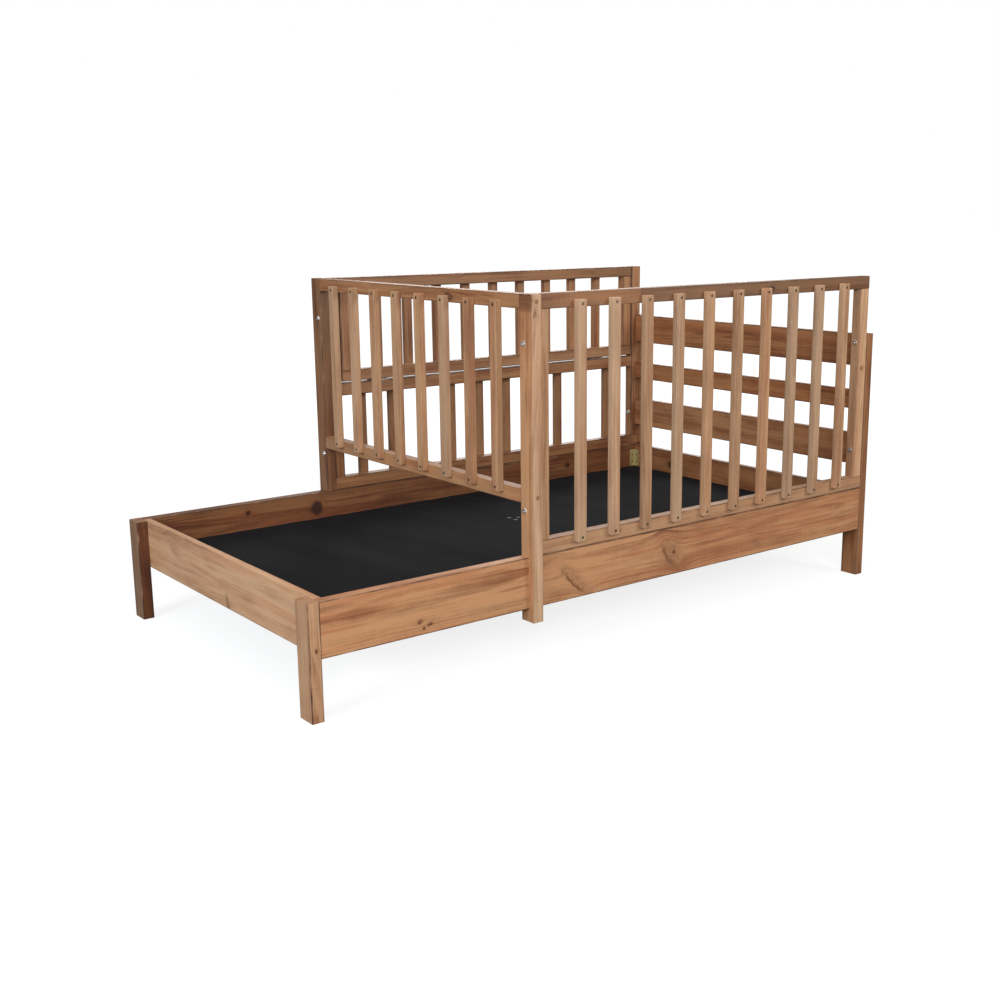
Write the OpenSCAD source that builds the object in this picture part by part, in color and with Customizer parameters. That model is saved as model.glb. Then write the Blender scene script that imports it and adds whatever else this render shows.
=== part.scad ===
// Convertible crib bed in solid pine: a low single bed whose head end carries
// a slatted crib, with a fold-down gate in the upper half of the far side.
// Millimetres, +Z up. +X runs from the foot to the head, +Y to the gate side.
// The origin is on the floor, in the middle of the bed.

/* [Mattress bay] */
// Clear length between the foot board and the head boards
bay_l = 1904; // [1880:1:1960]
// Clear width between the side rails
bay_w = 1016; // [1000:1:1040]
// Height of the fabric-covered base above the floor
base_z = 210; // [208:1:216]

/* [Timber sections] */
// Thickness of rails, legs, posts and panel frames
timber_t = 32; // [30:1:34]
// Thickness of the foot board
foot_board_t = 22; // [20:1:24]
// Thickness of the head boards
head_board_t = 20; // [18:1:22]
// Depth of the legs and the head posts across the bed
leg_w = 60; // [56:1:66]
// Radius on the long edges of every board
ease = 2; // [1:0.5:3]

/* [Low bed] */
// Underside of the side rails
rail_z = 153; // [150:1:160]
// Height of the side rails and of the foot board
rail_h = 138; // [132:1:144]
// Height of the two wide head boards
wide_h = 100; // [90:1:104]
// Height of the narrow head board
narrow_h = 60; // [50:1:66]
// Gap between one head board and the next
board_gap = 77; // [72:1:80]

/* [Crib] */
// Top of the crib, the overall height
top_z = 961; // [950:1:985]
// Foot-side face of the tall posts, from the foot of the bed
post_x = 636; // [600:1:650]
// How far the tall posts reach below the side rails
post_drop = 35; // [20:1:50]
// Height of the crib's fixed rails
frame_h = 39; // [36:1:42]
// Width of the near stiles
stile_w = 37; // [34:1:40]
// Underside of the end panel
end_z = 430; // [400:1:450]
// Height of the end panel's rails
end_h = 37; // [35:1:39]
// Top of the far side's middle rail
mid_z = 631; // [620:1:640]

/* [Slats] */
// Slat width
slat_w = 29; // [24:1:32]
// Slat thickness
slat_t = 19; // [17:1:21]
// How far a slat's end stays back from the edge of its frame
slat_in = 18; // [14:1:18]
// Radius on a slat's long edges
slat_ease = 2; // [1:0.5:4]
// Radius round a slat's ends
slat_end_ease = 3; // [2:0.5:5]
// Slats in the near side
near_n = 10; // [8:1:10]
// Spacing of the near slats
near_pitch = 116.1; // [112:0.1:116.5]
// Slats in the end panel
end_n = 8; // [7:1:8]
// Spacing of the end slats
end_pitch = 118.2; // [110:0.1:119.5]
// Slats in the lower half of the far side
far_n = 10; // [8:2:10]
// Spacing of the far slats
far_pitch = 117; // [116.6:0.1:117.2]
// Slats in the gate
gate_n = 9; // [7:2:9]
// Spacing of the gate slats
gate_pitch = 116.5; // [116.3:0.1:117]

/* [Gate] */
// Height of the gate's rails and width of its stiles
gate_w = 36; // [34:1:38]
// Gap under the gate, filled by the hinges
gate_gap = 5; // [5:0.5:6]
// Gap at each end of the gate
gate_side = 5; // [4.5:0.5:6]
// Width of the far stile next to the tall post
far_stile_foot_w = 33; // [32:1:34]
// Width of the far stile next to the head post
far_stile_head_w = 41; // [40:1:42]
// Length of each hinge
hinge_l = 60; // [50:1:70]
// Travel of the two latch bolts
latch_throw = 28; // [24:1:28]

/* [Hidden] */
T = timber_t;
bed_w = bay_w + 2*T;                         // over the side rails
foot_in = T + foot_board_t;                  // inner face of the foot board
head_in = foot_in + bay_l;                   // inner face of the head boards
head_x = head_in + head_board_t;             // foot-side face of the head posts
bed_l = head_x + T;
rail_top = rail_z + rail_h;
post_b = post_x + T;                         // head-side face of the tall posts
post_z = rail_z - post_drop;
post_top_z = rail_top + 3*board_gap + 2*wide_h + narrow_h;
inner_n = T;                                 // inner face of the near rail
inner_f = bed_w - T;                         // inner face of the far rail
wood = [0.63, 0.43, 0.29];
wood_in = [0.52, 0.34, 0.22];
steel = [0.78, 0.78, 0.77];
brass = [0.62, 0.55, 0.33];
black = [0.13, 0.13, 0.13];
fitc = 0.05;                                 // slack of a fastener in its hole
// turns that point a part built up +Z along another axis
XP = [0, 90, 0];
XN = [0, -90, 0];
YP = [-90, 0, 0];
YN = [90, 0, 0];
ZP = [0, 0, 0];
ZN = [180, 0, 0];
// near slats, centred between the near stiles
near_c = (post_b + head_x)/2;
near_xs = [for (i = [0:near_n - 1]) near_c + 0.6 + (i - (near_n - 1)/2)*near_pitch];
far_xs = [for (i = [0:far_n - 1]) near_c - 4.5 + (i - (far_n - 1)/2)*far_pitch];
gate_x0 = post_b + far_stile_foot_w + gate_side;
gate_x1 = head_x - far_stile_head_w - gate_side;
gate_c = (gate_x0 + gate_x1)/2;
gate_xs = [for (i = [0:gate_n - 1]) gate_c + 8 + (i - (gate_n - 1)/2)*gate_pitch];
end_ys = [for (i = [0:end_n - 1]) bed_w/2 - 8.1 + (i - (end_n - 1)/2)*end_pitch];
gate_z = mid_z + gate_gap;
screw_in = slat_in + 12;                     // slat screws, from the frame's edge
// hinge
axis_y = bed_w + 4.6;
axis_z = mid_z + gate_gap/2;
knuckle_r = 4.2;
pin_r = 2;
leaf_t = 1.8;
hinge_xs = [gate_x0 + 110, gate_x1 - 132 - hinge_l];
leaf_in = 24;                                // leaf width under the gate
// latch
latch_z = top_z - gate_w/2;
rod_r = 4;
rod_slack = 0.3;
latch_y = bed_w + 2 + rod_r + rod_slack;
// fixings
plug_x = post_x + T/2;
plug_zs = [end_z + end_h/2, top_z - end_h/2];
post_bolt_zs = [411, 838];
head_bolt_zs = [416, 756];
bolt_y = T/2;
bolt_len = 60;
dowel_zs = [190, 255];
bearer_w = 70;
bearer_n = 8;
cleat_h = 24;
cleat_t = 25;
panel_t = 9;
cover_t = 1;
cover_skirt = 22;
gap = 4;                                     // round the base
cleat_screw_xs = [150, 480, 810, 1180, 1520, 1850];
bracket_z = 192;
bracket_h = 80;
bracket_w = 25;
bracket_t = 2;

// Points of one eased corner
function corner(cx, cy, r, a) = [for (i = [0:3]) [cx + r*cos(a + 30*i), cy + r*sin(a + 30*i)]];
// Outline of a board's section with eased corners
function eased(w, h, r) = concat(
    corner(w - r, h - r, r, 0),
    corner(r, h - r, r, 90),
    corner(r, r, r, 180),
    corner(w - r, r, r, 270));

// A board from corner p, of size s, its grain along X
module board_x(p, s, r = ease) {
    translate(p) rotate([90, 0, 90]) linear_extrude(s.x) polygon(eased(s.y, s.z, r));
}
// The same with the grain along Y
module board_y(p, s, r = ease) {
    translate(p + [0, s.y, 0]) rotate([90, 0, 0]) linear_extrude(s.y) polygon(eased(s.x, s.z, r));
}
// The same with the grain along Z
module board_z(p, s, r = ease) {
    translate(p) linear_extrude(s.z) polygon(eased(s.x, s.y, r));
}
// An upright slat, its ends rounded as well
module slat(p, s) {
    intersection() {
        board_z(p, s, slat_ease);
        board_x(p, s, slat_end_ease);
        board_y(p, s, slat_end_ease);
    }
}
// Put children at each point, pointed along a turn
module at(pts, turn = ZP) {
    for (p = pts) translate(p) rotate(turn) children();
}
// Mirror children to the far side of the bed
module far_side() {
    translate([0, bed_w, 0]) mirror([0, 1, 0]) children();
}
// Everything is drawn from the foot and near corner, then centred
module placed() {
    translate([-bed_l/2, -bed_w/2, 0]) children();
}

// Countersunk wood screw, its head's face at z = 0 and its point at len
module screw(d, head, len) {
    difference() {
        union() {
            cylinder(h = (head - d)/2, r1 = head/2, r2 = d/2, $fn = 28);
            cylinder(h = len - d, r = d/2, $fn = 20);
            translate([0, 0, len - d]) cylinder(h = d, r1 = d/2, r2 = 0.3, $fn = 20);
        }
        for (a = [0, 90]) rotate([0, 0, a])
            translate([-head*0.29, -head*0.055, -1]) cube([head*0.58, head*0.11, 1 + head*0.2]);
    }
}
// The hole that takes it
module screw_hole(d, head, len) {
    translate([0, 0, -1]) cylinder(h = 1.001, r = head/2 + fitc, $fn = 28);
    cylinder(h = (head - d)/2, r1 = head/2 + fitc, r2 = d/2 + fitc, $fn = 28);
    translate([0, 0, -0.5]) cylinder(h = len + 1.5, r = d/2 + fitc, $fn = 20);
}
module slat_screw() screw(4, 8, 33);
module slat_screw_hole() screw_hole(4, 8, 33);
module frame_screw() screw(5, 10, 44);
module frame_screw_hole() screw_hole(5, 10, 44);
module small_screw() screw(3, 6, 14);
module small_screw_hole() screw_hole(3, 6, 14);

// Furniture bolt: a low flanged head with a hexagon socket, then the shank
module bolt() {
    difference() {
        union() {
            translate([0, 0, -3]) cylinder(h = 3, r1 = 6.6, r2 = 7.6, $fn = 40);
            cylinder(h = bolt_len, r = 4, $fn = 28);
        }
        translate([0, 0, -4]) cylinder(h = 3.4, r = 2.9, $fn = 6);
    }
}
module bolt_hole() {
    translate([0, 0, -1]) cylinder(h = bolt_len + 3, r = 4.2, $fn = 28);
    translate([0, 0, bolt_len - 15 - fitc]) cylinder(h = 15 + 2*fitc, r = 6 + fitc, $fn = 32);
}
// Insert nut that the bolt's end screws into
module nut() {
    translate([0, 0, bolt_len - 15]) difference() {
        cylinder(h = 15, r = 6, $fn = 32);
        translate([0, 0, -1]) cylinder(h = 17, r = 4 + fitc, $fn = 28);
    }
}
module dowel() cylinder(h = 30, r = 4, $fn = 28);
module dowel_hole() translate([0, 0, -0.5]) cylinder(h = 31, r = 4 + fitc, $fn = 28);
module plug_screw() screw(5, 10, 76);

// Where the fixings go
near_spots = [for (x = near_xs, z = [rail_top + screw_in, top_z - screw_in]) [x, -slat_t, z]];
far_spots = [for (x = far_xs, z = [rail_top + screw_in, mid_z - screw_in]) [x, bed_w + slat_t, z]];
gate_spots = [for (x = gate_xs, z = [gate_z + screw_in, top_z - screw_in])
    [x, bed_w + slat_t, z]];
end_spots = [for (y = end_ys, z = [end_z + screw_in, top_z - screw_in]) [post_x - slat_t, y, z]];
side_ys = [bolt_y, bed_w - bolt_y];
post_bolt_spots = [for (y = side_ys, z = post_bolt_zs) [post_x, y, z]];
near_head_bolt_spots = [for (z = head_bolt_zs) [head_x - stile_w, bolt_y, z]];
far_head_bolt_spots = [for (z = head_bolt_zs) [head_x - far_stile_head_w, bed_w - bolt_y, z]];
foot_dowel_spots = [for (y = [T/2, leg_w - 14, bed_w - leg_w + 14, bed_w - T/2], z = dowel_zs)
    [T - 15, y, z]];
head_dowel_spots = [for (y = side_ys, z = dowel_zs) [head_x - 15, y, z]];
board_zs = [rail_z, rail_top + board_gap, rail_top + 2*board_gap + wide_h,
    post_top_z - wide_h];
board_hs = [rail_h, wide_h, narrow_h, wide_h];
board_screw_spots = [for (y = [leg_w - 14, bed_w - leg_w + 14], i = [0:3], k = [0.25, 0.75])
    [bed_l, y, board_zs[i] + board_hs[i]*k]];
cleat_spots = [for (x = cleat_screw_xs) [x, T + cleat_t, rail_z + cleat_h/2]];
post_rail_spots = [for (x = [post_x + 9, post_x + 23]) [x, T, 192]];
bracket_rail_spots = [for (z = [225, 252]) [head_in - 13, T + bracket_t, z]];
bracket_board_spots = [for (z = [225, 252]) [head_in - bracket_t, T + 13, z]];
hinge_spots_x = [for (h = hinge_xs, k = [0.15, 0.5, 0.85]) h + hinge_l*k];
hinge_spots_y = bed_w - 11;
plate_l = 58;
plate_spots = [for (k = [0, 1], dx = [14, 43], dz = [-9, 9])
    [k == 0 ? gate_x0 + 3 + dx : gate_x1 - 3 - dx, bed_w + 2, latch_z + dz]];
keeper_spots = [for (k = [0, 1], dz = [-9, 9])
    [k == 0 ? gate_x0 - 16 : gate_x1 + 16, bed_w + 2, latch_z + dz]];

// ---- low bed
module side_rail() {
    difference() {
        board_x([T, 0, rail_z], [head_x - T, T, rail_h]);
        at([for (p = foot_dowel_spots) if (p.y < T) p], XP) dowel_hole();
        at([for (p = head_dowel_spots) if (p.y < T) p], XP) dowel_hole();
        at(cleat_spots, YN) frame_screw_hole();
        at(post_rail_spots, YN) frame_screw_hole();
        at(bracket_rail_spots, YN) small_screw_hole();
    }
}
module side_rail_near() color(wood) placed() side_rail();
module side_rail_far() color(wood) placed() far_side() side_rail();
module foot_board() color(wood) placed() difference() {
    board_y([T, inner_n, rail_z], [foot_board_t, bay_w, rail_h]);
    at(foot_dowel_spots, XP) dowel_hole();
}
module foot_leg() {
    difference() {
        board_z([0, 0, 0], [T, leg_w, rail_top]);
        at([for (p = foot_dowel_spots) if (p.y < leg_w) p], XP) dowel_hole();
    }
}
module foot_leg_near() color(wood) placed() foot_leg();
module foot_leg_far() color(wood) placed() far_side() foot_leg();
module head_post() {
    difference() {
        board_z([head_x, 0, 0], [T, leg_w, post_top_z]);
        at([for (p = head_dowel_spots) if (p.y < T) p], XP) dowel_hole();
        at([for (p = board_screw_spots) if (p.y < leg_w) p], XN) frame_screw_hole();
        children();
    }
}
module head_post_near() color(wood) placed() head_post() at(near_head_bolt_spots, XP) bolt_hole();
module head_post_far() color(wood) placed() far_side() head_post()
    at([for (p = far_head_bolt_spots) [p.x, bed_w - p.y, p.z]], XP) bolt_hole();
module head_board(i) {
    difference() {
        board_y([head_in, inner_n, board_zs[i]], [head_board_t, bay_w, board_hs[i]]);
        at(board_screw_spots, XN) frame_screw_hole();
        if (i == 0) {
            at(bracket_board_spots, XP) small_screw_hole();
            far_side() at(bracket_board_spots, XP) small_screw_hole();
        }
    }
}
module head_board_top() color(wood_in) placed() head_board(3);
module head_board_upper() color(wood_in) placed() head_board(2);
module head_board_middle() color(wood_in) placed() head_board(1);
module head_board_lower() color(wood_in) placed() head_board(0);

// ---- tall posts, notched over the side rails
module tall_post() {
    difference() {
        board_z([post_x, -slat_t, post_z], [T, slat_t + T, top_z - post_z]);
        translate([post_x - 1, 0, rail_z]) cube([T + 2, T + 1, rail_h]);
        at([for (z = post_bolt_zs) [post_x, bolt_y, z]], XP) bolt_hole();
        at([for (z = plug_zs) [plug_x, -slat_t + 8, z]], YP) screw_hole(5, 10, 76);
        at([for (z = plug_zs) [plug_x, -slat_t - 1, z]], YP) cylinder(h = 9, r = 6 + fitc, $fn = 36);
        at(post_rail_spots, YN) frame_screw_hole();
    }
}
module tall_post_near() color(wood) placed() tall_post();
module tall_post_far() color(wood) placed() far_side() tall_post();

// ---- near side
module near_top_rail() color(wood) placed() difference() {
    board_x([post_b, 0, top_z - frame_h], [head_x - post_b, T, frame_h]);
    at(near_spots, YP) slat_screw_hole();
}
module near_bottom_rail() color(wood) placed() difference() {
    board_x([post_b, 0, rail_top], [head_x - post_b, T, frame_h]);
    at(near_spots, YP) slat_screw_hole();
}
module near_stile_foot() color(wood) placed() difference() {
    board_z([post_b, 0, rail_top + frame_h], [stile_w, T, top_z - rail_top - 2*frame_h]);
    at(post_bolt_spots, XP) bolt_hole();
}
module near_stile_head() color(wood) placed() difference() {
    board_z([head_x - stile_w, 0, rail_top + frame_h], [stile_w, T, top_z - rail_top - 2*frame_h]);
    at(near_head_bolt_spots, XP) bolt_hole();
}
module near_slats() color(wood) placed() difference() {
    for (x = near_xs) slat([x - slat_w/2, -slat_t, rail_top + slat_in],
        [slat_w, slat_t, top_z - rail_top - 2*slat_in]);
    at(near_spots, YP) slat_screw_hole();
}

// ---- end panel between the tall posts
module end_top_rail() color(wood) placed() difference() {
    board_y([post_x, inner_n, top_z - end_h], [T, bay_w, end_h]);
    at(end_spots, XP) slat_screw_hole();
    plug_screw_holes();
}
module end_bottom_rail() color(wood) placed() difference() {
    board_y([post_x, inner_n, end_z], [T, bay_w, end_h]);
    at(end_spots, XP) slat_screw_hole();
    plug_screw_holes();
}
module plug_screw_holes() {
    at([for (z = plug_zs) [plug_x, -slat_t + 8, z]], YP) screw_hole(5, 10, 76);
    far_side() at([for (z = plug_zs) [plug_x, -slat_t + 8, z]], YP) screw_hole(5, 10, 76);
}
module end_slats() color(wood) placed() difference() {
    for (y = end_ys) slat([post_x - slat_t, y - slat_w/2, end_z + slat_in],
        [slat_t, slat_w, top_z - end_z - 2*slat_in]);
    at(end_spots, XP) slat_screw_hole();
}

// ---- far side, fixed frame
module far_bottom_rail() color(wood_in) placed() difference() {
    board_x([post_b, inner_f, rail_top], [head_x - post_b, T, frame_h]);
    at(far_spots, YN) slat_screw_hole();
}
module far_mid_rail() color(wood_in) placed() difference() {
    board_x([post_b + far_stile_foot_w, inner_f, mid_z - frame_h],
        [head_x - post_b - far_stile_foot_w - far_stile_head_w, T, frame_h]);
    at(far_spots, YN) slat_screw_hole();
    at([for (x = hinge_spots_x) [x, hinge_spots_y, mid_z + leaf_t]], ZN) small_screw_hole();
}
module far_stile_foot() color(wood_in) placed() difference() {
    board_z([post_b, inner_f, rail_top + frame_h], [far_stile_foot_w, T, top_z - rail_top - frame_h]);
    at(post_bolt_spots, XP) bolt_hole();
    at(keeper_spots, YN) small_screw_hole();
}
module far_stile_head() color(wood_in) placed() difference() {
    board_z([head_x - far_stile_head_w, inner_f, rail_top + frame_h],
        [far_stile_head_w, T, top_z - rail_top - frame_h]);
    at(far_head_bolt_spots, XP) bolt_hole();
    at(keeper_spots, YN) small_screw_hole();
}
module far_slats() color(wood_in) placed() difference() {
    for (x = far_xs) slat([x - slat_w/2, bed_w, rail_top + slat_in],
        [slat_w, slat_t, mid_z - rail_top - 2*slat_in]);
    at(far_spots, YN) slat_screw_hole();
}

// ---- gate, the upper half of the far side
module gate_top_rail() color(wood_in) placed() difference() {
    board_x([gate_x0, inner_f, top_z - gate_w], [gate_x1 - gate_x0, T, gate_w]);
    at(gate_spots, YN) slat_screw_hole();
    at(plate_spots, YN) small_screw_hole();
}
module gate_bottom_rail() color(wood_in) placed() difference() {
    board_x([gate_x0, inner_f, gate_z], [gate_x1 - gate_x0, T, gate_w]);
    at(gate_spots, YN) slat_screw_hole();
    at([for (x = hinge_spots_x) [x, hinge_spots_y, gate_z - leaf_t]], ZP) small_screw_hole();
}
module gate_stile_foot() color(wood_in) placed()
    board_z([gate_x0, inner_f, gate_z + gate_w], [gate_w, T, top_z - gate_z - 2*gate_w]);
module gate_stile_head() color(wood_in) placed()
    board_z([gate_x1 - gate_w, inner_f, gate_z + gate_w], [gate_w, T, top_z - gate_z - 2*gate_w]);
module gate_slats() color(wood_in) placed() difference() {
    for (x = gate_xs) slat([x - slat_w/2, bed_w, gate_z + slat_in],
        [slat_w, slat_t, top_z - gate_z - 2*slat_in]);
    at(gate_spots, YN) slat_screw_hole();
}

// ---- hinges, in the gap under the gate, their barrels outside it
module knuckle(x, l) {
    translate([x, axis_y, axis_z]) rotate(XP) cylinder(h = l, r = knuckle_r, $fn = 40);
}
module hinge_bore(r) {
    for (h = hinge_xs) translate([h - 1, axis_y, axis_z]) rotate(XP)
        cylinder(h = hinge_l + 2, r = r, $fn = 40);
}
module leaf(h, z) {
    translate([h, bed_w - leaf_in, z]) cube([hinge_l, leaf_in, leaf_t]);
}
module tab(x, l, z) {
    translate([x, bed_w - 1, z]) cube([l, 1 + axis_y - 3 - bed_w, leaf_t]);
}
knuckle_l = hinge_l*0.3;
module hinge_fixed_leaves() color(steel) placed() difference() {
    for (h = hinge_xs) union() {
        leaf(h, mid_z);
        for (x = [h, h + hinge_l - knuckle_l]) {
            knuckle(x, knuckle_l);
            tab(x, knuckle_l, mid_z);
        }
    }
    hinge_bore(pin_r + fitc);
    at([for (x = hinge_spots_x) [x, hinge_spots_y, mid_z + leaf_t]], ZN) small_screw_hole();
}
module hinge_gate_leaves() color(steel) placed() difference() {
    for (h = hinge_xs) union() {
        leaf(h, gate_z - leaf_t);
        knuckle(h + knuckle_l + 0.3, hinge_l - 2*knuckle_l - 0.6);
        tab(h + knuckle_l + 0.3, hinge_l - 2*knuckle_l - 0.6, gate_z - leaf_t);
    }
    hinge_bore(pin_r + 0.06);
    at([for (x = hinge_spots_x) [x, hinge_spots_y, gate_z - leaf_t]], ZP) small_screw_hole();
}
module hinge_pins() color(steel) placed() for (h = hinge_xs)
    translate([h, axis_y, axis_z]) rotate(XP) cylinder(h = hinge_l, r = pin_r, $fn = 40);

// ---- latches on the outer face, at the two upper corners of the gate
// strap that bridges the bolt: two cheeks and a cap
module strap(x, l, slack) {
    translate([x, bed_w + 2, latch_z]) {
        for (s = [-1, 1]) translate([0, 0, s*(rod_r + slack + 1.25) - 1.25])
            cube([l, latch_y + rod_r + slack - bed_w - 2, 2.5]);
        translate([0, latch_y + rod_r + slack - bed_w - 2, -rod_r - slack - 2.5])
            cube([l, 2, 2*(rod_r + slack + 2.5)]);
    }
}
module latch_plate() {
    difference() {
        translate([gate_x0 + 3, bed_w, latch_z - 13]) cube([plate_l, 2, 26]);
        at([for (p = plate_spots) if (p.x < gate_c) p], YN) small_screw_hole();
    }
    strap(gate_x0 + 5, 6, rod_slack);
    strap(gate_x0 + 53, 6, rod_slack);
}
module to_head() {
    translate([2*gate_c, 0, 0]) mirror([1, 0, 0]) children();
}
module latch_plates() color(steel) placed() {
    latch_plate();
    to_head() latch_plate();
}
// at rest the bolt stands thrown, in its keeper
module latch_bolt() {
    translate([gate_x0 + 2 - latch_throw, latch_y, latch_z]) rotate(XP) {
        cylinder(h = 87, r = rod_r, $fn = 32);
        translate([0, 0, 44]) rotate([-90, 0, 0]) cylinder(h = 11.5, r = 3, $fn = 28);
    }
}
module latch_bolt_foot() color(steel) placed() latch_bolt();
module latch_bolt_head() color(steel) placed() to_head() latch_bolt();
module latch_keeper() {
    difference() {
        translate([gate_x0 - 30, bed_w, latch_z - 13]) cube([24, 2, 26]);
        at([for (p = keeper_spots) if (p.x < gate_c) p], YN) small_screw_hole();
    }
    strap(gate_x0 - 28, 8, 0.5);
}
module latch_keepers() color(steel) placed() {
    latch_keeper();
    to_head() latch_keeper();
}

// ---- base
base_x0 = foot_in + gap;
base_x1 = head_in - gap;
base_y0 = inner_n + gap;
base_y1 = inner_f - gap;
module base_panel() color(wood_in) placed()
    translate([base_x0 + cover_t, base_y0 + cover_t, base_z - cover_t - panel_t])
        cube([base_x1 - base_x0 - 2*cover_t, base_y1 - base_y0 - 2*cover_t, panel_t]);
module base_cover() color(black) placed() difference() {
    translate([base_x0, base_y0, base_z - cover_skirt])
        cube([base_x1 - base_x0, base_y1 - base_y0, cover_skirt]);
    translate([base_x0 + cover_t, base_y0 + cover_t, base_z - cover_skirt - 1])
        cube([base_x1 - base_x0 - 2*cover_t, base_y1 - base_y0 - 2*cover_t, cover_skirt + 1 - cover_t]);
}
module base_cleat() {
    difference() {
        board_x([foot_in, T, rail_z], [bay_l, cleat_t, cleat_h]);
        at(cleat_spots, YN) frame_screw_hole();
    }
}
module base_cleat_near() color(wood_in) placed() base_cleat();
module base_cleat_far() color(wood_in) placed() far_side() base_cleat();
bearer_h = base_z - cover_t - panel_t - rail_z - cleat_h;
module base_bearers() color(wood_in) placed() for (i = [0:bearer_n - 1])
    board_y([foot_in + 40 + i*(bay_l - 80 - bearer_w)/(bearer_n - 1), base_y0 + 2, rail_z + cleat_h],
        [bearer_w, base_y1 - base_y0 - 4, bearer_h]);

// ---- corner brackets at the head
module bracket() {
    difference() {
        union() {
            translate([head_in - bracket_w, T, bracket_z]) cube([bracket_w, bracket_t, bracket_h]);
            translate([head_in - bracket_t, T, bracket_z]) cube([bracket_t, bracket_w, bracket_h]);
        }
        at(bracket_rail_spots, YN) small_screw_hole();
        at(bracket_board_spots, XP) small_screw_hole();
    }
}
module corner_brackets() color(brass) placed() {
    bracket();
    far_side() bracket();
}

// ---- fixings
module panel_bolts() color(steel) placed() {
    at(post_bolt_spots, XP) bolt();
    at(near_head_bolt_spots, XP) bolt();
    at(far_head_bolt_spots, XP) bolt();
}
module insert_nuts() color(steel) placed() {
    at(post_bolt_spots, XP) nut();
    at(near_head_bolt_spots, XP) nut();
    at(far_head_bolt_spots, XP) nut();
}
module post_screws() at([for (z = plug_zs) [plug_x, -slat_t + 8, z]], YP) plug_screw();
module end_panel_screws() color(steel) placed() {
    post_screws();
    far_side() post_screws();
}
module plugs() at([for (z = plug_zs) [plug_x, -slat_t, z]], YP) cylinder(h = 7, r = 6, $fn = 36);
module post_plugs() color(wood_in) placed() {
    plugs();
    far_side() plugs();
}
module corner_dowels() color(wood) placed() {
    at(foot_dowel_spots, XP) dowel();
    at(head_dowel_spots, XP) dowel();
}
module side_screws() {
    at(cleat_spots, YN) frame_screw();
    at(post_rail_spots, YN) frame_screw();
}
module frame_screws() color(steel) placed() {
    at(board_screw_spots, XN) frame_screw();
    side_screws();
    far_side() side_screws();
}
module slat_screws() color(steel) placed() {
    at(near_spots, YP) slat_screw();
    at(end_spots, XP) slat_screw();
    at(far_spots, YN) slat_screw();
}
module gate_slat_screws() color(steel) placed() at(gate_spots, YN) slat_screw();
module bracket_screws() {
    at(bracket_rail_spots, YN) small_screw();
    at(bracket_board_spots, XP) small_screw();
}
module hardware_screws() color(steel) placed() {
    bracket_screws();
    far_side() bracket_screws();
    at([for (x = hinge_spots_x) [x, hinge_spots_y, mid_z + leaf_t]], ZN) small_screw();
    at(keeper_spots, YN) small_screw();
}
module gate_hardware_screws() color(steel) placed() {
    at([for (x = hinge_spots_x) [x, hinge_spots_y, gate_z - leaf_t]], ZP) small_screw();
    at(plate_spots, YN) small_screw();
}

side_rail_near();
side_rail_far();
foot_board();
foot_leg_near();
foot_leg_far();
head_post_near();
head_post_far();
head_board_top();
head_board_upper();
head_board_middle();
head_board_lower();
tall_post_near();
tall_post_far();
near_top_rail();
near_bottom_rail();
near_stile_foot();
near_stile_head();
near_slats();
end_top_rail();
end_bottom_rail();
end_slats();
far_bottom_rail();
far_mid_rail();
far_stile_foot();
far_stile_head();
far_slats();
gate_top_rail();
gate_bottom_rail();
gate_stile_foot();
gate_stile_head();
gate_slats();
hinge_fixed_leaves();
hinge_gate_leaves();
hinge_pins();
latch_plates();
latch_bolt_foot();
latch_bolt_head();
latch_keepers();
base_panel();
base_cover();
base_cleat_near();
base_cleat_far();
base_bearers();
corner_brackets();
panel_bolts();
insert_nuts();
end_panel_screws();
post_plugs();
corner_dowels();
frame_screws();
slat_screws();
gate_slat_screws();
hardware_screws();
gate_hardware_screws();
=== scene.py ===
"""Looks for a convertible crib bed in stained pine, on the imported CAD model.

Metres, +Z up. +X runs from the foot of the bed to its head, +Y across it to
the gate. The CAD boards and fittings stay and get procedural materials; the
CAD solid of the base's cover is replaced by a stretched sheet of felt.
"""
import math

import bpy
from mathutils import Matrix, Vector, noise


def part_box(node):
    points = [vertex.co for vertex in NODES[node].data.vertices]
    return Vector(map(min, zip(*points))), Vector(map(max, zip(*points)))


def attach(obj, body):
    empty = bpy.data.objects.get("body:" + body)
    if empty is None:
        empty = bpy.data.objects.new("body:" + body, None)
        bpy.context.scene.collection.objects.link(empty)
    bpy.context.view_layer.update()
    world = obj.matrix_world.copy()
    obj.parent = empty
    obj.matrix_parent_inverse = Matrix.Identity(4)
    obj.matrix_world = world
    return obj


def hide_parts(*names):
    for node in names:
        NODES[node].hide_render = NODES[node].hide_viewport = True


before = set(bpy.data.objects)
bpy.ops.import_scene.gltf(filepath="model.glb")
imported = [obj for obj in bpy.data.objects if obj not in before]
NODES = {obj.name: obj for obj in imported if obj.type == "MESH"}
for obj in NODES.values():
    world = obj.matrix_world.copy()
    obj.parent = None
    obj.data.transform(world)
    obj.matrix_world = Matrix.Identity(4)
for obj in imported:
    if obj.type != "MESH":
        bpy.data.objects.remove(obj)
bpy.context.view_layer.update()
MM = 0.001
X, Y, Z = 0, 1, 2

# ---------------------------------------------------------------- camera
CAMERA_AT = (-2.3043, -3.0535, 1.1550)
CAMERA_YAW = 51.31          # degrees from +X towards +Y
CAMERA_PITCH = 12.52        # degrees below level
CAMERA_ROLL = -0.26
LENS = 46.0                 # mm on the 36 mm sensor
SHIFT = (-0.0522, -0.0031)  # of the sensor's width


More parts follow.
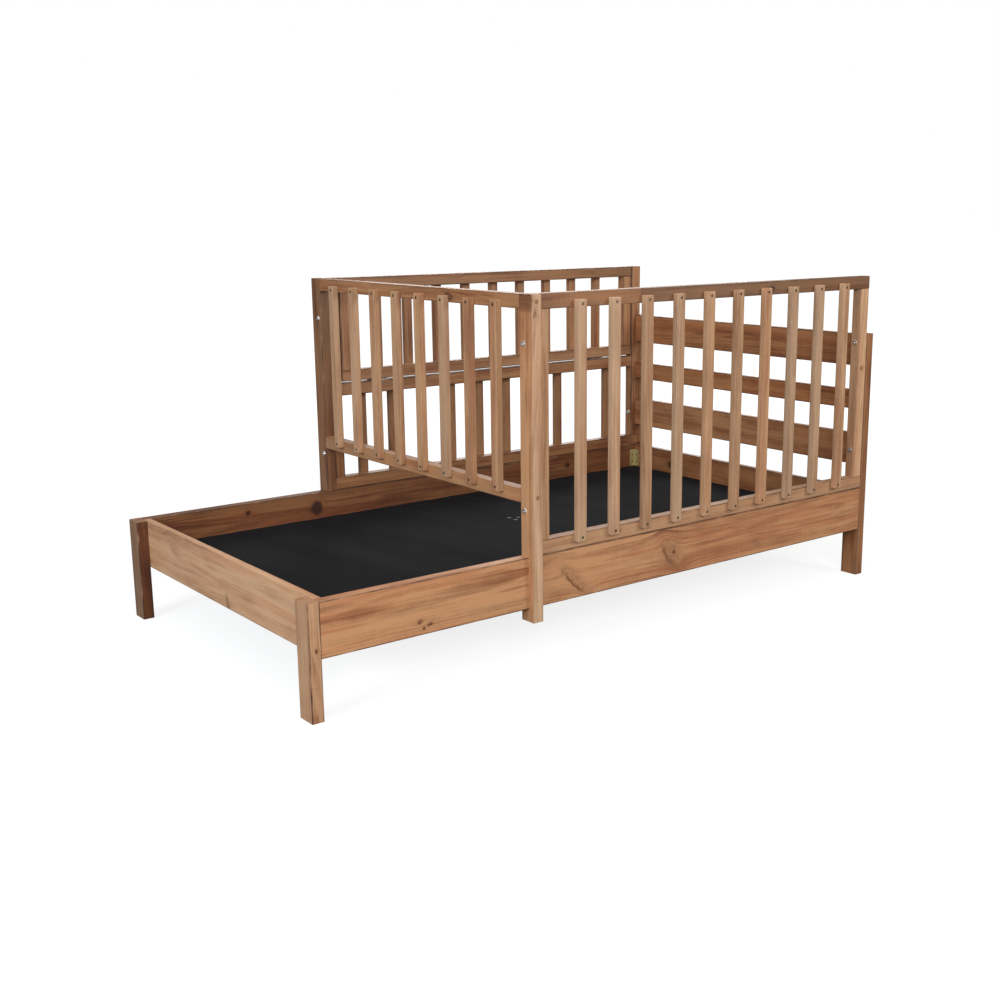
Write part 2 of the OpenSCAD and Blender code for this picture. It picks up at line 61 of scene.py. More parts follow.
def add_camera():
    yaw, pitch, roll = (math.radians(a) for a in (CAMERA_YAW, CAMERA_PITCH, CAMERA_ROLL))
    ahead = Vector((math.cos(yaw) * math.cos(pitch), math.sin(yaw) * math.cos(pitch),
                    -math.sin(pitch)))
    level = Vector((math.sin(yaw), -math.cos(yaw), 0))
    plumb = level.cross(ahead)
    right = level * math.cos(roll) + plumb * math.sin(roll)
    up = plumb * math.cos(roll) - level * math.sin(roll)
    data = bpy.data.cameras.new("camera")
    data.lens = LENS
    data.sensor_width = 36
    data.shift_x, data.shift_y = SHIFT
    camera = bpy.data.objects.new("camera", data)
    turn = Matrix((right, up, -ahead)).transposed().to_4x4()
    camera.matrix_world = Matrix.Translation(CAMERA_AT) @ turn
    bpy.context.scene.collection.objects.link(camera)
    bpy.context.scene.camera = camera


# ---------------------------------------------------------------- shader tools
class Val:
    """A shader socket that takes part in arithmetic."""

    def __init__(self, graph, socket):
        self.graph, self.socket = graph, socket

    def __add__(self, other):
        return self.graph.math("ADD", self, other)

    def __sub__(self, other):
        return self.graph.math("SUBTRACT", self, other)

    def __rsub__(self, other):
        return self.graph.math("SUBTRACT", other, self)

    def __mul__(self, other):
        return self.graph.math("MULTIPLY", self, other)

    def __truediv__(self, other):
        return self.graph.math("DIVIDE", self, other)

    def __pow__(self, other):
        return self.graph.math("POWER", self, other)

    __radd__ = __add__
    __rmul__ = __mul__


class Graph:
    """Adds nodes to a shader tree and links them."""

    def __init__(self, tree):
        self.tree = tree

    def plug(self, value, socket):
        if isinstance(value, Val):
            self.tree.links.new(value.socket, socket)
        else:
            socket.default_value = value

    def node(self, kind, inputs=(), out=0, **settings):
        made = self.tree.nodes.new("ShaderNode" + kind)
        for key, value in settings.items():
            setattr(made, key, value)
        pairs = inputs.items() if isinstance(inputs, dict) else enumerate(inputs)
        for key, value in pairs:
            self.plug(value, made.inputs[key])
        return Val(self, made.outputs[out]) if made.outputs else None

    def math(self, operation, *inputs):
        return self.node("Math", inputs, operation=operation)

    def vec(self, x, y, z):
        return self.node("CombineXYZ", (x, y, z))

    def split(self, vector):
        first = self.node("SeparateXYZ", (vector,))
        return [first] + [Val(self, first.socket.node.outputs[i]) for i in (1, 2)]

    def noise(self, vector, detail=2.0, rough=0.5, out="Fac"):
        """The vector carries the scale, in cells per metre."""
        return self.node("TexNoise", {"Vector": vector, "Scale": 1.0, "Detail": detail,
                                      "Roughness": rough}, out)

    def random(self, seed):
        """Three numbers from 0 to 1 that a seed settles."""
        return self.split(self.node("TexWhiteNoise", {"W": seed}, "Color",
                                    noise_dimensions="1D"))

    def smooth(self, value, low, high, to_low=0.0, to_high=1.0):
        return self.node("MapRange", (value, low, high, to_low, to_high),
                         interpolation_type="SMOOTHSTEP")

    def mix(self, factor, a, b, blend_type="MIX"):
        return self.node("Mix", {0: factor, 6: a, 7: b}, 2, data_type="RGBA",
                         blend_type=blend_type)

    def bump(self, height, distance, strength=1.0):
        return self.node("Bump", {"Height": height, "Distance": distance,
                                  "Strength": strength})


def rgb(*values):
    return (*values, 1.0)


def new_material(name):
    made = bpy.data.materials.new(name)
    made.use_nodes = True
    made.node_tree.nodes.clear()
    return made, Graph(made.node_tree)


def finish_material(graph, **sockets):
    """Ends a material in a Principled shader; an input's name has _ for each space."""
    shader = graph.node("BsdfPrincipled", {k.replace("_", " "): v for k, v in sockets.items()})
    graph.node("OutputMaterial", (shader,))


def object_space(graph):
    """A point's place and normal in the object's own frame."""
    place = graph.node("TexCoord", out="Object")
    return place, Val(graph, place.socket.node.outputs["Normal"])


# ---------------------------------------------------------------- stained pine
EARLY = rgb(0.500, 0.282, 0.148)       # wide pale rings of summer wood
LATE = rgb(0.262, 0.110, 0.047)        # narrow dark rings
RUSSET = rgb(0.460, 0.226, 0.113)      # where the stain sits reddish
OLIVE = rgb(0.440, 0.255, 0.138)       # where it sits greenish
KNOT = rgb(0.120, 0.043, 0.016)
PALE = rgb(0.580, 0.330, 0.160)        # clear wood inside a knot
STAIN_AND_SEAM_SHADE = rgb(0.060, 0.022, 0.009)       # stain gathered along an arris, and painted shade of the seams between boards
WORN = rgb(0.600, 0.360, 0.210)        # rubbed along an arris


def make_pine_group():
    """Solid pine that depends on the place in the board, x along the grain,
    y across the wide face and z through it.

    Tone above 0 is a heavier stain and below 0 a greyer one; Shade darkens it. As set per board,
    both also paint the shade where less light reaches, which darkens and reddens the wood."""
    tree = bpy.data.node_groups.new("pine", "ShaderNodeTree")
    face = tree.interface
    for name, kind in (("Place", "Vector"), ("Normal", "Vector"), ("Seed", "Float"),
                       ("Tone", "Float"), ("Shade", "Float"), ("Knot", "Float"),
                       ("Heart", "Float"), ("Arris", "Float")):
        face.new_socket(name, in_out="INPUT", socket_type="NodeSocket" + kind)
    for name, kind in (("Color", "Color"), ("Roughness", "Float"), ("Height", "Float")):
        face.new_socket(name, in_out="OUTPUT", socket_type="NodeSocket" + kind)
    g = Graph(tree)
    entry = tree.nodes.new("NodeGroupInput")
    place, normal, seed, tone, shade, knot, heart, arris = (
        Val(g, entry.outputs[i]) for i in range(8))
    x, y, z = g.split(place)
    side, depth, spacing = g.random(seed)
    shift = seed * 3.7

    def at_scale(along, across, detail=2.0, rough=0.5, out="Fac"):
        spot = g.vec(x * along + shift, y * across + shift, z * across)
        return g.noise(spot, detail, rough, out)

    # the log's pith wanders past the board, so the rings run out in long tongues
    drift_y, drift_z, _ = g.split(at_scale(0.9, 2.5, 1.0, out="Color"))
    pith_y = (side - 0.5) * 0.09 + (drift_y - 0.5) * 0.05
    pith_z = depth * 0.06 + 0.022 + (drift_z - 0.5) * 0.07
    reach = g.math("SQRT", (y - pith_y) ** 2.0 + (z - pith_z) ** 2.0)
    reach = reach + at_scale(5.0, 38.0) * 0.0045
    rings = reach / (spacing * 0.0025 + 0.0036)
    ring = g.math("FRACT", rings)
    late = g.smooth(ring, 0.20, 0.86) * (1.0 - g.smooth(ring, 0.88, 1.0))
    years = g.noise(g.vec(rings * 0.23, seed * 9.1, 0.0), 1.0)
    late = late * g.smooth(years, 0.30, 0.70, 0.10, 1.0)
    band = g.noise(g.vec(reach * 75.0, seed * 5.3, x * 0.5), 1.0)
    swathe = at_scale(2.2, 42.0, 2.0, 0.55)
    streak = at_scale(4.0, 170.0, 4.0, 0.62)
    fibre = at_scale(22.0, 1300.0, 2.0, 0.6)
    blotch = at_scale(4.5, 16.0, 4.0, 0.62)
    chatter = at_scale(210.0, 9.0, 1.0)
    duct = g.smooth(at_scale(55.0, 2600.0, 0.0), 0.76, 0.84)

    dark = (late * 0.25 + (swathe - 0.5) * 0.95 + (streak - 0.5) * 0.98 + (fibre - 0.5) * 0.55
            + (blotch - 0.5) * 1.20 + (band - 0.5) * 0.50 + (chatter - 0.5) * 0.16 + duct * 0.35)
    dark = g.node("Clamp", (dark * 1.55 + 0.12, 0.0, 1.0))
    hue = at_scale(1.8, 26.0, 3.0, 0.6) + (spacing - 0.5) * 0.13
    clear = g.mix(g.smooth(hue, 0.50, 0.68), EARLY, RUSSET)
    clear = g.mix(g.smooth(hue, 0.50, 0.34), clear, OLIVE)
    color = g.mix(dark, clear, LATE)
    color = g.mix(heart, color, PALE)
    color = g.mix(knot, color, KNOT)
    color = g.node("Gamma", (color, tone + 1.0))
    shade = shade * (g.math("MINIMUM", tone, 0.0) * 0.8 + 1.0)
    color = g.mix(1.0, color, g.vec(shade, shade, shade), "MULTIPLY")

    # cut ends drink the stain, which also gathers along an arris until it's rubbed pale; the
    # darkening along an arris is also painted shade of the seams between boards
    end = g.smooth(g.math("ABSOLUTE", g.split(normal)[0]), 0.80, 0.95)
    wear = at_scale(14.0, 60.0, 3.0)
    rub = arris * g.smooth(wear, 0.56, 0.74)
    color = g.mix(end * 0.45, color, LATE)
    color = g.mix(arris * g.smooth(wear, 0.34, 0.64, 1.0, 0.50), color, STAIN_AND_SEAM_SHADE)
    color = g.mix(rub * 0.35, color, WORN)

    leave = tree.nodes.new("NodeGroupOutput")
    roughness = (late * -0.05 + (blotch - 0.5) * 0.16 + end * 0.20 + rub * -0.05
                 + (fibre - 0.5) * 0.10 + 0.50)
    height = (late * 0.5 + (fibre - 0.5) * 0.9 + (streak - 0.5) * 0.5 + (chatter - 0.5) * 0.2
              - duct * 0.8 + knot * 0.6)
    for value, socket in zip((color, roughness, height), leave.inputs):
        g.plug(value, socket)
    return tree


PINE = make_pine_group()


def knot_field(g, along, across, knots):
    """Grain that flows round knots, and where they are dark or clear.

    A knot is (along, across, half length, half width, slant in degrees, how dark
    its rim is, how dark its inside is), its place in metres from the board's middle."""
    flow, mask, heart = across, 0.0, 0.0
    wobble = (g.noise(g.vec(along * 38.0, across * 60.0, 0.0), 4.0) - 0.5) * 0.85
    mottle = g.smooth(g.noise(g.vec(along * 110.0, across * 190.0, 2.0), 3.0), 0.42, 0.72)
    for at_along, at_across, length, width, slant, rim, inside in knots:
        turn = math.radians(slant)
        u, v = along - at_along, across - at_across
        far = (u * math.cos(turn) + v * math.sin(turn)) / length
        wide = (v * math.cos(turn) - u * math.sin(turn)) / width
        e = g.math("SQRT", far ** 2.0 + wide ** 2.0)
        flow = flow - v * 0.62 / (g.math("MAXIMUM", e, 1.0) ** 2.0)
        e = e + wobble
        body = 1.0 - g.smooth(e, 0.70, 1.02)
        year = g.smooth(g.math("FRACT", e * 2.6), 0.20, 0.95) * 0.16 + 0.84
        halo = (1.0 - g.smooth(e, 0.80, 2.40)) * 0.16
        line = g.smooth(e, 0.60, 0.95) * (1.0 - g.smooth(e, 0.98, 1.45))
        line = line * g.smooth(wide, 0.10, -0.75, 0.05, 1.0)
        line = line * (1.0 - g.smooth(g.math("ABSOLUTE", far), 0.35, 1.10, 0.0, 0.75))
        mask = mask + body * year * inside + body * mottle * 0.30 + line * rim + halo
        heart = heart + body * (0.25 - 0.25 * inside)
    return flow, g.node("Clamp", (mask, 0.0, 0.92)), g.node("Clamp", (heart, 0.0, 1.0))


ARRIS = 4.4 * MM             # how far the gathered stain and the painted seam shade reach from an arris
ARRIS_FULL = 1.6 * MM        # how far it's at its darkest
SLAT_ARRIS = 0.22            # how strongly it shows on a slat; 1 is a board's full strength
# the boards whose arrises show it less
FAINT_ARRIS = {"tall_post_near": 0.30, "foot_board": 0.30, "near_top_rail": 0.45,
               "end_top_rail": 0.45, "end_bottom_rail": 0.45, "near_bottom_rail": 0.70,
               "near_stile_head": 0.35, "near_stile_foot": 0.35, "head_post_near": 0.50}
# a rail glued up from two lengths: where they meet in metres, the first one's tone and shade
GLUED = {"near_top_rail": (0.012, 0.45, 0.74), "end_top_rail": (0.199, 0.38, 0.88)}
SEAM = (0.3 * MM, 1.3 * MM)  # the dark line between them: full to the first, gone by the second
SEAM_DARK = 0.5


def pine(node, grain, seed, tone=0.0, shade=1.0, knots=(), edge=0.0, thin=None, row=None):
    """Gives a node pine whose grain runs along an axis.

    edge adds tone to the board's narrow faces, painted shade on the sides that less light reaches;
    thin is the axis through the board, else its thinnest side; row is (axis, first middle, pitch)
    for a row of slats."""
    low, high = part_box(node)
    size = high - low
    middle = (low + high) / 2
    others = [a for a in (X, Y, Z) if a != grain]
    if row:
        size[row[0]] = SLAT_WIDTH
        middle[row[0]] = 0.0
    if thin is None:
        thin = min(others, key=lambda a: size[a])
    wide = [a for a in others if a != thin][0]
    order = (grain, wide, thin)

    material, g = new_material(node)
    place, normal = object_space(g)
    parts = g.split(place)
    seed_value = float(seed)
    strength = FAINT_ARRIS.get(node, 1.0)
    seam = 0.0
    if node in GLUED:
        meets_at, first_tone, first_shade = GLUED[node]
        past = parts[grain] - meets_at
        first = g.math("LESS_THAN", past, 0.0)
        seed_value = first * 2.9 + seed_value
        tone = first * (first_tone - tone) + tone
        shade = first * (first_shade - shade) + shade
        seam = (1.0 - g.smooth(g.math("ABSOLUTE", past), *SEAM)) * SEAM_DARK
    if row:
        axis, first, pitch = row
        index = g.math("FLOOR", (parts[axis] - first) / pitch + 0.5)
        parts[axis] = parts[axis] - index * pitch - first
        seed_value = index * 1.37 + float(seed)
        one, two, _ = g.random(index + seed * 0.31)
        tone = (one - 0.5) * 0.22 + tone
        shade = (1.0 - two * 0.18) * shade
        strength = SLAT_ARRIS
    local = [parts[a] - middle[a] if middle[a] else parts[a] for a in order]
    if row:
        local[0] = local[0] + two * 0.7
    inset = [size[a] / 2 - g.math("ABSOLUTE", part) for a, part in zip(order[1:], local[1:])]
    # the arris mask: gathered stain and painted seam shade along the arrises, and a glued rail's
    # dark seam
    arris = (1.0 - g.smooth(inset[0] + inset[1], ARRIS_FULL, ARRIS)) * strength + seam
    turned = g.split(normal)
    # painted shade: the narrow faces get extra tone as if less light reached them
    if edge:
        tone = g.math("ABSOLUTE", turned[wide]) * edge + tone
    inputs = {"Normal": g.vec(*(turned[a] for a in order)), "Seed": seed_value, "Tone": tone,
              "Shade": shade, "Arris": arris}
    if knots:
        local[1], inputs["Knot"], inputs["Heart"] = knot_field(g, local[0], local[1], knots)
    inputs["Place"] = g.vec(*local)
    color = g.node("Group", (), node_tree=PINE)
    group = color.socket.node
    for key, value in inputs.items():
        g.plug(value, group.inputs[key])
    roughness, height = Val(g, group.outputs[1]), Val(g, group.outputs[2])
    finish_material(g, Base_Color=color, Roughness=roughness, Coat_Weight=0.10,
                    Coat_Roughness=0.34, Normal=g.bump(height, 0.35 * MM, 0.6))
    put(node, material)


def put(node, material):
    slots = NODES[node].material_slots
    if not slots:
        NODES[node].data.materials.append(material)
    for slot in slots:
        slot.material = material


SLAT_WIDTH = 29 * MM
# node: axis the row runs along, how many slats, tone; the far rows' darker tone is partly painted
# shade
SLAT_ROWS = {"near_slats": (X, 10, -0.10), "end_slats": (Y, 8, 0.0),
             "far_slats": (X, 10, 0.28), "gate_slats": (X, 9, 0.24)}


def slat_row(node):
    """A row's axis, its first slat's middle and the pitch."""
    axis, count, _ = SLAT_ROWS[node]
    low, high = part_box(node)
    return axis, low[axis] + SLAT_WIDTH / 2, (high[axis] - low[axis] - SLAT_WIDTH) / (count - 1)


def dress_wood():
    # node: grain, seed, tone, shade, [knots], extra tone on the narrow faces, axis through it;
    # tone and shade are partly each board's own stain and partly painted shade, darkest on the far
    # side, inside the crib and under the bed; the extra tone on the narrow faces is painted shade
    boards = {
        "side_rail_near": (X, 3, 0.20, 1.13, [
            (-0.704, -0.034, 0.010, 0.005, 20, 0.4, 0.5),
            (-0.675, -0.045, 0.009, 0.004, 15, 0.5, 0.6),
            (-0.693, -0.052, 0.004, 0.004, 0, 0.6, 0.8),
            (-0.214, -0.019, 0.054, 0.013, -44, 0.62, 0.08),
            (0.140, -0.002, 0.048, 0.023, -54, 0.50, 0.12),
            (0.149, -0.004, 0.007, 0.005, -54, 0.2, 0.5),
            (0.495, -0.036, 0.016, 0.008, -10, 0.1, 0.15)]),
        "side_rail_far": (X, 5, 0.60, 0.69, [
            (-0.411, 0.024, 0.022, 0.019, 0, 0.9, 0.75),
            (-0.647, 0.040, 0.009, 0.007, 0, 0.5, 0.6),
            (0.30, -0.02, 0.014, 0.011, 0, 0.6, 0.7),
            (0.62, 0.03, 0.011, 0.009, 0, 0.4, 0.6)]),
        "foot_board": (Y, 8, -0.04, 1.12, [
            (0.297, 0.030, 0.034, 0.015, 30, 0.25, 0.05),
            (-0.041, -0.052, 0.022, 0.007, 70, 0.7, 0.3)]),
        "foot_leg_near": (Z, 11, 0.0, 0.99, [(0.030, 0.003, 0.007, 0.004, 0, 0.6, 0.7)], 0.0, Y),
        "foot_leg_far": (Z, 12, 0.04, 0.56, [], 1.0),
        "head_post_near": (Z, 13, 0.46, 0.89),
        "head_post_far": (Z, 14, 0.28, 0.88, [(-0.10, 0.0, 0.012, 0.009, 0, 0.6, 0.7)]),
        "head_board_top": (Y, 17, 0.52, 1.02),
        "head_board_upper": (Y, 18, 0.52, 1.18),
        "head_board_middle": (Y, 19, 0.30, 1.02),
        "head_board_lower": (Y, 20, 0.48, 0.84, [(0.31, 0.02, 0.015, 0.012, 0, 0.6, 0.7)]),
        "tall_post_near": (Z, 23, -0.20, 1.10, [
            (0.410, -0.030, 0.055, 0.020, 0, 0.0, 0.42),
            (0.372, -0.006, 0.010, 0.004, 20, 0.4, 0.4),
            (0.384, -0.002, 0.040, 0.006, -16, 0.1, 0.06)], 0.42, Y),
        "tall_post_far": (Z, 24, 0.30, 0.58, [], 0.10),
        "near_top_rail": (X, 27, 0.30, 0.47, [(0.21, 0.0, 0.010, 0.007, 0, 0.5, 0.6)]),
        "near_bottom_rail": (X, 28, 0.02, 0.91, [(-0.38, 0.004, 0.010, 0.007, 0, 0.5, 0.6)]),
        "near_stile_foot": (Z, 29, 0.0, 0.88),
        "near_stile_head": (Z, 30, -0.10, 1.20, [(0.05, 0.0, 0.008, 0.007, 0, 0.5, 0.6)]),
        "end_top_rail": (Y, 33, 0.34, 0.98, [(-0.20, 0.0, 0.022, 0.010, 10, 0.4, 0.5)]),
        "end_bottom_rail": (Y, 34, 0.24, 0.94),
        "far_bottom_rail": (X, 39, 0.38, 0.86),
        "far_mid_rail": (X, 40, 0.28, 0.96, [(0.12, 0.0, 0.010, 0.008, 0, 0.5, 0.6)]),
        "far_stile_foot": (Z, 41, 0.58, 0.78),
        "far_stile_head": (Z, 42, 0.26, 0.92),
        "gate_top_rail": (X, 45, 0.34, 0.70),
        "gate_bottom_rail": (X, 46, 0.14, 0.90),
        "gate_stile_foot": (Z, 47, 0.24, 0.90),
        "gate_stile_head": (Z, 48, 0.22, 0.92),
    }
    for node, look in boards.items():
        pine(node, *look)
    for seed, (node, (axis, _, tone)) in enumerate(SLAT_ROWS.items(), 60):
        pine(node, Z, seed * 10, tone, row=slat_row(node), thin=Y if axis == X else X)


# ---------------------------------------------------------------- other materials
def steel(name, color, rough, tarnish):
    """Plated steel with fine brushing and duller patches."""
    material, g = new_material(name)
    place, _ = object_space(g)
    x, y, z = g.split(place)
    patch = g.noise(g.vec(x * 90.0, y * 90.0, z * 90.0), 4.0, 0.6)
    brush = g.noise(g.vec(x * 350.0, y * 2600.0, z * 2600.0), 2.0)
    shade = g.mix(g.smooth(patch, 0.45, 0.75), rgb(*color), rgb(*tarnish))
    roughness = (patch - 0.5) * 0.30 + (brush - 0.5) * 0.18 + rough
    finish_material(g, Base_Color=shade, Metallic=1.0, Roughness=roughness,
                    Normal=g.bump(brush, 0.05 * MM, 0.5))
    return material


def raw_wood(name, pale, dark, layers=0.0):
    """Unstained timber under the bed; layers is a plywood's ply in metres."""
    material, g = new_material(name)
    place, _ = object_space(g)
    x, y, z = g.split(place)
    grain = g.noise(g.vec(x * 6.0, y * 90.0, z * 90.0), 4.0, 0.6)
    blotch = g.noise(g.vec(x * 3.0, y * 9.0, z * 9.0), 2.0)
    dark_part = g.smooth(grain * 0.7 + blotch * 0.4, 0.35, 0.80)
    if layers:
        ply = g.math("PINGPONG", z / layers, 1.0)
        dark_part = dark_part * 0.6 + g.smooth(ply, 0.4, 0.6) * 0.35
    finish_material(g, Base_Color=g.mix(dark_part, rgb(*pale), rgb(*dark)),
                    Roughness=(grain - 0.5) * 0.2 + 0.68, Normal=g.bump(grain, 0.3 * MM, 0.5))
    return material


FELT_DARK, FELT_GREY = rgb(0.0034, 0.0037, 0.0048), rgb(0.0122, 0.0130, 0.0152)
FELT_POINT, FELT_LINT = rgb(0.003, 0.003, 0.004), rgb(0.058, 0.060, 0.066)
POINT_PITCH = 2.6 * MM       # between bonding points


def felt():
    """Near-black spun-bonded fabric: matted fibres, rows of bonding points, and painted light in
    lighter diagonal bands where the sheet ripples.
    """
    material, g = new_material("black_felt")
    place, _ = object_space(g)
    x, y, z = g.split(place)
    row = g.math("FLOOR", y / POINT_PITCH)
    stagger = g.math("PINGPONG", row, 1.0) * 0.5
    du = g.math("FRACT", x / POINT_PITCH + stagger) - 0.5
    dv = g.math("FRACT", y / POINT_PITCH) - 0.5
    point = 1.0 - g.smooth(g.math("SQRT", du ** 2.0 + dv ** 2.0), 0.16, 0.30)
    fibre = g.noise(g.vec(x * 900.0, y * 900.0, z * 900.0), 3.0, 0.7)
    cloud = g.noise(g.vec(x * 9.0, y * 4.0, z * 9.0), 4.0, 0.6)
    lint = g.smooth(g.noise(g.vec(x * 170.0, y * 120.0, z * 170.0), 1.0), 0.78, 0.86)
    # painted light: band, with part of cloud, lays lighter diagonal streaks where the ripples
    # catch the light
    band = g.noise(g.vec(x * 7.0 + y * 1.1, y * 0.9, 6.0), 2.0)
    shade = g.mix(g.smooth(fibre * 0.5 + cloud * 0.3 + band * 0.4, 0.40, 0.84),
                  FELT_DARK, FELT_GREY)
    shade = g.mix(point * 0.45, shade, FELT_POINT)
    shade = g.mix(lint * 0.30, shade, FELT_LINT)
    height = fibre * 0.5 - point * 0.8
    finish_material(g, Base_Color=shade, Roughness=(cloud - 0.5) * 0.15 + 0.86,
                    Specular_IOR_Level=0.12, Normal=g.bump(height, 0.25 * MM, 0.7))
    return material


def dress_fittings():
    bright = steel("plated_steel", (0.92, 0.92, 0.91), 0.36, (0.68, 0.68, 0.67))
    dull = steel("screw_steel", (0.26, 0.23, 0.17), 0.30, (0.09, 0.08, 0.06))
    yellow = steel("yellow_zinc", (0.86, 0.78, 0.48), 0.34, (0.60, 0.50, 0.28))
    plain = raw_wood("plain_pine", (0.56, 0.37, 0.20), (0.36, 0.21, 0.10))
    ply = raw_wood("plywood", (0.56, 0.39, 0.23), (0.38, 0.24, 0.13), 1.8 * MM)
    for node in ("hinge_fixed_leaves", "hinge_gate_leaves", "hinge_pins", "latch_plates",
                 "latch_bolt_foot", "latch_bolt_head", "latch_keepers", "panel_bolts",
                 "insert_nuts"):
        put(node, bright)
    for node in ("end_panel_screws", "frame_screws", "slat_screws", "gate_slat_screws",
                 "hardware_screws", "gate_hardware_screws"):
        put(node, dull)
    put("corner_brackets", yellow)
    for node in ("base_bearers", "base_cleat_near", "base_cleat_far", "corner_dowels"):
        put(node, plain)
    put("base_panel", ply)
    pine("post_plugs", Y, 77, 0.06, 0.52)


# ---------------------------------------------------------------- base cover
FELT_STEP = 12 * MM
FELT_UNDER = 0.5 * MM        # how far the sheet lies under the top of the CAD cover
FELT_RIPPLE = 3.6 * MM       # how far the ripples stand from the panel
CALM_EDGE, CALM_REACH = 0.3, 24 * MM     # share of the ripples left at an edge, and how far in
STAPLE_WIRE = 0.45 * MM      # radius
WIRE_SIDES = 6
STAPLES = [(0.054, 0.110, -36), (0.054, 0.076, -30), (0.080, 0.095, -44)]   # x, y, turn in degrees


def ripple_at(x, y):
    """How far the felt's ripples stand above the panel away from its edges."""
    skew = x + 0.16 * y
    broad = noise.noise(Vector((skew * 13.0, y * 1.7, 4.0)))
    fine = noise.noise(Vector((skew * 29.0, y * 3.1, 9.0)))
    return (0.75 + 0.5 * broad + 0.25 * fine) * FELT_RIPPLE


def add_felt(material):
    """One sheet over the base panel: ripples across the bed on top, its edges
    turned down past the panel's."""
    low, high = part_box("base_cover")
    inset = 1.2 * MM
    x0, x1, y0, y1 = low.x + inset, high.x - inset, low.y + inset, high.y - inset
    top, hem = high.z - FELT_UNDER, low.z + 2 * MM
    turn = 4 * MM
    shoulder = turn * 0.3
    drop = [turn, 9 * MM, 14 * MM, top - hem]

    def lines(a, b):
        count = round((b - a - 2 * turn) / FELT_STEP)
        middle = [a + turn + (b - a - 2 * turn) * i / count for i in range(count + 1)]
        return ([(a, d) for d in reversed(drop)] + [(a + shoulder, shoulder)]
                + [(m, 0.0) for m in middle]
                + [(b - shoulder, shoulder)] + [(b, d) for d in drop])

    columns, rows = lines(x0, x1), lines(y0, y1)
    points, keep = [], {}
    for j, (y, down_y) in enumerate(rows):
        for i, (x, down_x) in enumerate(columns):
            if down_x > shoulder and down_y > shoulder:
                continue
            down = max(down_x, down_y)
            edge = min(x - x0, x1 - x, y - y0, y1 - y)
            calm = min(1.0, CALM_EDGE + edge / CALM_REACH)
            lift = ripple_at(x, y) * calm
            keep[i, j] = len(points)
            points.append((x, y, top - down + (lift if down < turn else 0.0)))
    faces = []
    for j in range(len(rows) - 1):
        for i in range(len(columns) - 1):
            corners = [(i, j), (i + 1, j), (i + 1, j + 1), (i, j + 1)]
            if all(c in keep for c in corners):
                faces.append([keep[c] for c in corners])
    sheet = add_mesh("base_felt", points, faces, material, smooth=True)
    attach(sheet, "bed")
    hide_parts("base_cover")
    width = y1 - y0 + 2 * drop[-1]
    length = x1 - x0 + 2 * drop[-1]


def add_staples(material):
    """Flat-crowned staples that hold the felt down on the panel."""
    crown, leg, proud = 10 * MM, 1.6 * MM, 0.5 * MM
    bend, sag = 0.4 * MM, 0.3 * MM       # the corner between crown and leg
    flat_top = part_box("base_cover")[1].z - FELT_UNDER
    points, faces = [], []
    for x, y, turn in STAPLES:
        along = Vector((math.cos(math.radians(turn)), math.sin(math.radians(turn)), 0))
        path = [(-crown / 2, -leg), (-crown / 2, -sag), (-crown / 2 + bend, 0.0),
                (crown / 2 - bend, 0.0), (crown / 2, -sag), (crown / 2, -leg)]
        start = len(points)
        top = flat_top + ripple_at(x, y) + proud
        for k, (u, lift) in enumerate(path):
            before, after = path[max(k - 1, 0)], path[min(k + 1, len(path) - 1)]
            ahead = Vector(along * (after[0] - before[0]) + Vector((0, 0, after[1] - before[1])))
            ahead.normalize()
            side = Vector((-along.y, along.x, 0))
            over = ahead.cross(side)
            for step in range(WIRE_SIDES):
                a = math.tau * step / WIRE_SIDES
                spot = Vector((x, y, top + lift)) + along * u
                points.append(spot + (side * math.cos(a) + over * math.sin(a)) * STAPLE_WIRE)
        for k in range(len(path) - 1):
            for step in range(WIRE_SIDES):
                one = start + k * WIRE_SIDES + step
                two = start + k * WIRE_SIDES + (step + 1) % WIRE_SIDES
                faces.append((one, two, two + WIRE_SIDES, one + WIRE_SIDES))
        faces.append([start + step for step in reversed(range(WIRE_SIDES))])
        last = start + (len(path) - 1) * WIRE_SIDES
        faces.append([last + step for step in range(WIRE_SIDES)])
    staples = add_mesh("base_staples", points, faces, material)
    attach(staples, "bed")


def add_mesh(name, points, faces, material, smooth=False):
    mesh = bpy.data.meshes.new(name)
    mesh.from_pydata(points, [], faces)
    mesh.update()
    if smooth:
        mesh.polygons.foreach_set("use_smooth", [True] * len(mesh.polygons))
    mesh.materials.append(material)
    made = bpy.data.objects.new(name, mesh)
    bpy.context.scene.collection.objects.link(made)
    return made


# ---------------------------------------------------------------- studio
AMBIENT = 0.17               # the room's light; the backdrop itself shows as white
FLOOR_TINT = 0.20            # the floor's own shade
NEAR_GLOW, FAR_GLOW = 0.81, 1.0      # lifts it to the white of the backdrop
GLOW_REACH = (1.6, 3.8)      # metres from the bed's middle


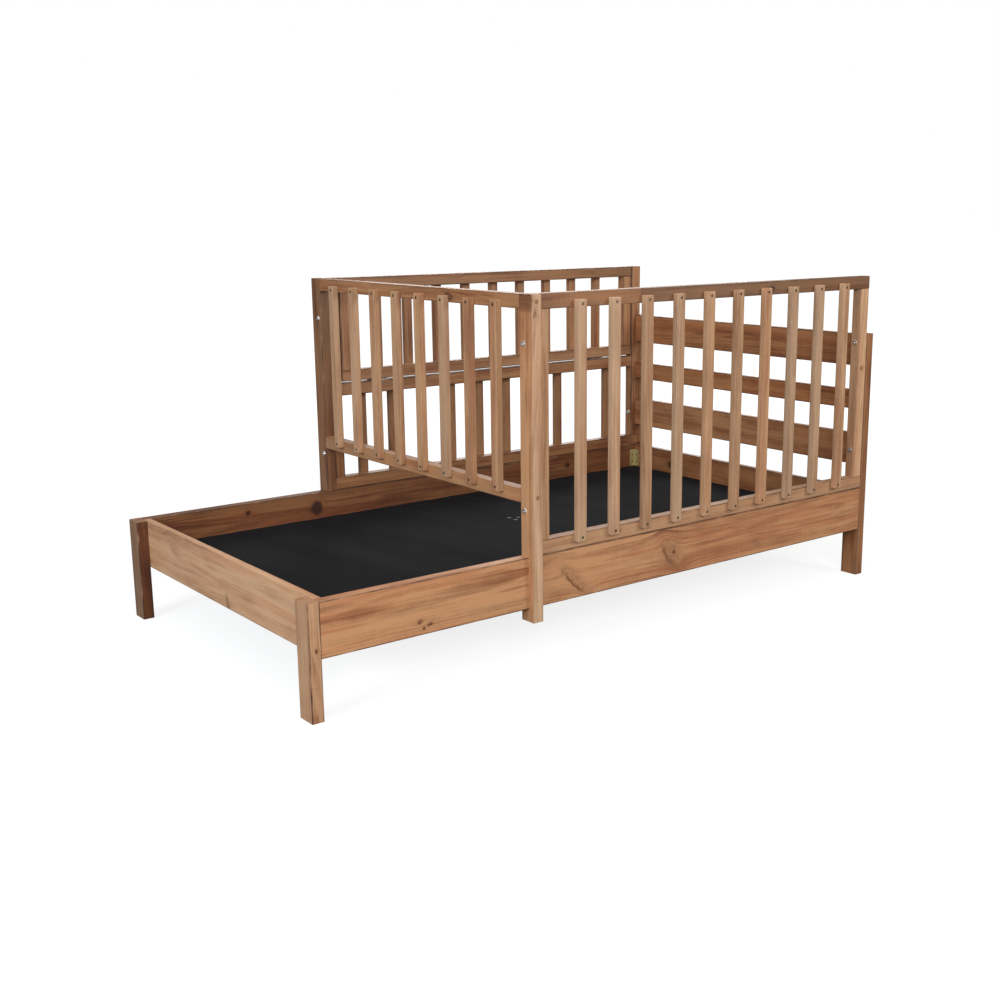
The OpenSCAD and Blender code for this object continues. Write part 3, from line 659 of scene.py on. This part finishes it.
def add_floor():
    material, g = new_material("studio_floor")
    place, _ = object_space(g)
    x, y, _ = g.split(place)
    away = g.math("SQRT", x ** 2.0 + y ** 2.0)
    seen = g.node("LightPath", out="Is Camera Ray")
    grey = rgb(FLOOR_TINT, FLOOR_TINT, FLOOR_TINT)
    matte = g.node("BsdfDiffuse", {"Color": grey, "Roughness": 0.6})
    lift = g.smooth(away, *GLOW_REACH, NEAR_GLOW, FAR_GLOW) * seen
    glow = g.node("Emission", {"Color": rgb(1, 1, 1), "Strength": lift})
    g.node("OutputMaterial", (g.node("AddShader", (matte, glow)),))
    half = 60.0
    floor = add_mesh("floor", [(-half, -half, 0), (half, -half, 0), (half, half, 0),
                               (-half, half, 0)], [(0, 1, 2, 3)], material)


def soft_box(name, at, aim, size, watts, color=(1, 1, 1)):
    data = bpy.data.lights.new(name, "AREA")
    data.shape = "RECTANGLE"
    data.size, data.size_y = size
    data.energy = watts
    data.color = color
    lamp = bpy.data.objects.new(name, data)
    lamp.location = at
    lamp.rotation_euler = (Vector(aim) - Vector(at)).to_track_quat("-Z", "Y").to_euler()
    bpy.context.scene.collection.objects.link(lamp)


WARM, COOL = (1.0, 0.95, 0.88), (0.90, 1.0, 1.12)


def add_lights():
    soft_box("near_box", (2.2, -4.1, 2.2), (0.2, -0.5, 0.4), (2.0, 1.6), 88, WARM)
    soft_box("front_box", (-2.4, -4.1, 2.0), (-0.2, -0.5, 0.4), (2.2, 1.6), 125)
    soft_box("foot_box", (-7.0, -2.0, 2.6), (-0.4, 0.0, 0.4), (3.0, 2.4), 350, COOL)
    soft_box("top_box", (0.0, 0.0, 5.0), (0.0, 0.0, 0.0), (4.0, 3.0), 125)
    soft_box("back_box", (4.2, 5.0, 2.6), (0.0, 0.0, 0.3), (3.4, 2.4), 110)
    world = bpy.data.worlds.new("studio")
    world.use_nodes = True
    world.node_tree.nodes.clear()
    g = Graph(world.node_tree)
    seen = g.node("LightPath", out="Is Camera Ray")
    strength = seen * (1.0 - AMBIENT) + AMBIENT
    g.node("OutputWorld", (g.node("Background", {"Color": rgb(1, 1, 1), "Strength": strength}),))
    bpy.context.scene.world = world
    bpy.context.scene.view_settings.view_transform = "Standard"


add_camera()
dress_wood()
dress_fittings()
add_felt(felt())
add_staples(bpy.data.materials["plated_steel"])
add_floor()
add_lights()
